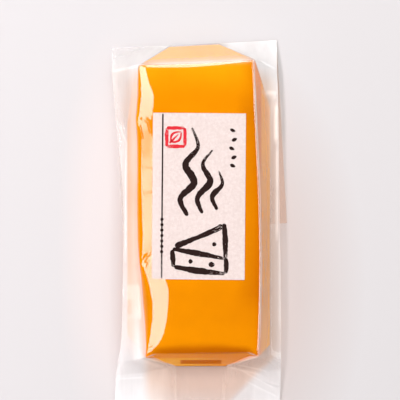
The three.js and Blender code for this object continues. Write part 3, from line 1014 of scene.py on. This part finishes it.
CHIPS = [([(u - 1.1, v + 0.5 * turn), (u + 1.1, v - 0.5 * turn)], (0.9, 1.5, 0.6))
         for u, v, turn in ((13.6, 27, 1), (14.3, 23.2, -1), (13.3, 19.6, 1),
                            (14.2, 16, -1), (13.7, 12.6, 1))]
RULE = [([(-14.9, 33.6), (-14.9, 0), (-14.9, -33.6)], (0.62, 0.62, 0.62))]
BEADS = [([(-14.9 - 0.5 * turn, v), (-14.9 + 0.5 * turn, v - 1)], (0.8, 1.5, 0.7))
         for v, turn in ((-9, 1), (-11.2, -1), (-13.4, 1), (-15.6, -1), (-17.8, 1),
                         (-20, -1), (-22.2, 1))]
STAMP_MIDDLE = (-9.6, 24.0)
STAMP_HALF = 3.7
# The stamp's corners and its leaf's edge, in shares of its half and in millimetres
STAMP_CORNERS = [(-1, 1), (1, 1.03), (1.02, -1), (-0.98, -1.03)]
LEAF_EDGE = [(-1.9, -1.9), (-1.9, 0.1), (-1.0, 1.5), (0.6, 2.1), (2.2, 2.2)]
LEAF_VEIN = [(-2.5, -2.5), (-0.4, -0.3), (1.2, 1.2)]
# A stroke's steps, those of its ragged edge, where it is widest, its cells across and the least
# share of its width at a round end
STROKE_STEP, RAGGED_STEP, WIDEST, STROKE_CELLS, LEAST_END = 0.35, 0.8, 0.45, 6, 0.02
# Heights of the ink's two sides over the paper, and how far apart the strokes' dry gaps are taken
INK_LIFTS, STROKE_SHIFT = (0.03, -0.05), 5.0


def smooth_path(points):
    """A curve through the points in even short steps."""
    points = np.array(points, float)
    if len(points) == 2:
        points = np.array([points[0], points.mean(axis=0), points[1]])
    ends = np.concatenate([[2 * points[0] - points[1]], points, [2 * points[-1] - points[-2]]])
    pieces = []
    for p0, p1, p2, p3 in zip(ends, ends[1:], ends[2:], ends[3:]):
        count = max(3, round(math.dist(p1, p2) / STROKE_STEP))
        s = (np.arange(count) / count)[:, None]
        pieces.append(curve(s, p1, p2, (p2 - p0) / 2, (p3 - p1) / 2))
    return np.concatenate(pieces + [points[-1:]])


def stroke_outline(points, widths, rng, wobble):
    """A stroke as rows of places across it, round at both ends and slightly ragged."""
    path = smooth_path(points)
    share = np.linspace(0, 1, len(path))
    forward = np.gradient(path, axis=0)
    forward /= np.linalg.norm(forward, axis=1)[:, None]
    aside = np.stack([-forward[:, 1], forward[:, 0]], -1)
    half = np.interp(share, [0, WIDEST, 1], np.array(widths) / 2)
    length = len(path) * STROKE_STEP
    to_end = np.minimum(share, 1 - share) * length
    round_end = np.sqrt(np.clip(1 - (1 - to_end / (half + LEAST)) ** 2, LEAST_END, 1))
    half = half * np.where(to_end < half, round_end, 1)
    places = np.arange(0, length + 2, RAGGED_STEP)
    left, right = (half + half * np.interp(share * length, places,
                                           [rng.uniform(-wobble, wobble) for _ in places])
                   for _ in range(2))
    sides = np.linspace(-1, 1, STROKE_CELLS + 1)
    offset = np.where(sides < 0, sides * right[:, None], sides * left[:, None])
    rows = path[:, None, :] + aside[:, None, :] * offset[..., None]
    return rows, sides, share * length, share


def make_strokes(name, strokes, seed, wobble=0.12):
    """One piece from many strokes that lie on the label."""
    rng = random.Random(seed)
    verts, faces = [], []
    values = {"across": [], "along": [], "dry": []}
    for number, (points, widths) in enumerate(strokes):
        rows, sides, length, share = stroke_outline(points, widths, rng, wobble)
        x, y = on_label(rows[..., 0], rows[..., 1])
        z = heights_at(label_tree, x, y)
        faces += closed_faces(*x.shape, len(verts))[0]
        for lift in INK_LIFTS:
            verts += to_world(np.stack([x, y, z + lift], -1).reshape(-1, 3)).tolist()
            for key, numbers in (("across", sides + STROKE_SHIFT * number),
                                 ("along", length[:, None]), ("dry", share[:, None] ** 2)):
                values[key] += np.broadcast_to(numbers, x.shape).ravel().tolist()
    piece = add_piece(name, verts, faces)
    for key, numbers in values.items():
        set_values(piece, key, numbers)
    return piece


def stamp_strokes():
    """A square frame with a leaf across it, on the label."""
    def placed(points, scale=1):
        return [(STAMP_MIDDLE[0] + a * scale, STAMP_MIDDLE[1] + b * scale) for a, b in points]

    corners = placed(STAMP_CORNERS, STAMP_HALF)
    frame_lines = [([one, two], (1.2, 1.5, 1.2))
                   for one, two in zip(corners, corners[1:] + corners[:1])]
    other_edge = [(b, a) for a, b in LEAF_EDGE]
    return frame_lines + [(placed(LEAF_EDGE), (0.7, 1.0, 0.5)),
                          (placed(other_edge), (0.7, 1.0, 0.5)),
                          (placed(LEAF_VEIN), (0.9, 0.8, 0.4))]


brushwork = make_strokes("brushwork", SMOKE + WEDGE + CHIPS + BEADS, 11)
rule = make_strokes("label_rule", RULE, 5, 0.05)
stamp = make_strokes("stamp", stamp_strokes(), 23, 0.16)

clear = make_material("film_clear", clear_film)
cheese = make_material("cheese", smoked_cheese)
paper = make_material("paper", soft_paper)
# The paints: their colour, their colour where they are thin, and how much they cover
ink = make_material("ink", brushed_paint, (0.015, 0.007, 0.006), (0.028, 0.014, 0.012), 0.80)
red = make_material("stamp_red", brushed_paint, (0.58, 0.010, 0.022), (0.64, 0.045, 0.055), 0.76)

for piece, finish, slot in ((film, clear, "film"), (flap, clear, "film"),
                            (slab, cheese, "cheese"), (label, paper, "paper"),
                            (brushwork, ink, "ink"), (rule, ink, "ink"), (stamp, red, "stamp")):
    piece.data.materials.append(finish)
    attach(piece, "root")
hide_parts("film_pack")
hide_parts("label")

FLOOR_HALF = 2.5
SKY_STRENGTH = 0.9
# The sky's colours by height, from the horizon up
SKY = [(0.05, (1, 0.98, 0.97, 1)), (0.35, (0.006, 0.006, 0.006, 1))]
# The camera's sensor, the picture's width in pixels and what is too near to be seen
SENSOR, PICTURE, NEAR = 36, 400, 0.01


def make_floor():
    """The table that the pack lies on."""
    h = FLOOR_HALF
    corners = [(-h, -h, 0), (h, -h, 0), (h, h, 0), (-h, h, 0)]
    floor = add_piece("floor", corners, [(0, 1, 2, 3)])
    floor.data.materials.append(make_material("floor_white", white_table))


def area_light(name, place, size, power, colour=(1, 1, 1), glossy=True):
    """A soft light that faces down."""
    data = bpy.data.lights.new(name, "AREA")
    data.shape = "RECTANGLE"
    data.size, data.size_y = size
    data.energy = power
    data.color = colour
    light = add_object(name, data)
    light.location = place
    light.visible_glossy = glossy


def make_world():
    """A sky that is dark above and white near the horizon."""
    world = bpy.data.worlds.new("studio")
    bpy.context.scene.world = world
    world.use_nodes = True
    tree = world.node_tree
    tree.nodes.clear()
    sky, back = add_node(tree, "ValToRGB"), add_node(tree, "Background", Strength=SKY_STRENGTH)
    for element, (position, colour) in zip(sky.color_ramp.elements, SKY):
        element.position, element.color = position, colour
    split = add_node(tree, "SeparateXYZ")
    surface = add_node(tree, "OutputWorld").inputs["Surface"]
    feed(tree, (split.inputs[0], sky.inputs["Fac"], back.inputs["Color"], surface),
         (add_node(tree, "TexCoord").outputs["Generated"], split.outputs["Z"],
          sky, back))


def make_camera():
    """A camera high over the pack that looks straight down."""
    data = bpy.data.cameras.new("camera")
    data.sensor_width = SENSOR
    data.sensor_fit = "HORIZONTAL"
    half = PICTURE / 2 * PIXEL / CAMERA_HEIGHT
    data.lens = SENSOR / 2 / half
    data.clip_start = NEAR
    camera = add_object("camera", data)
    camera.location = to_world([0, 0, CAMERA_HEIGHT])
    bpy.context.scene.camera = camera


make_floor()
area_light("key", (-0.51, 0.1, 0.8), (0.20, 1.3), 9.6, (1.0, 0.945, 0.985))
area_light("top", (0.0, 0.75, 0.75), (0.9, 0.3), 7.0)
area_light("fill", (0.1, -0.1, 1.6), (2.0, 2.0), 11.5, glossy=False)
area_light("edge", (0.62, 0.0, 0.62), (0.22, 1.2), 2.7)
area_light("front", (0.1, -0.8, 0.7), (0.9, 0.3), 2.0, glossy=False)
make_world()
make_camera()
bpy.context.scene.view_settings.view_transform = "Standard"
bpy.context.scene.view_settings.look = "None"
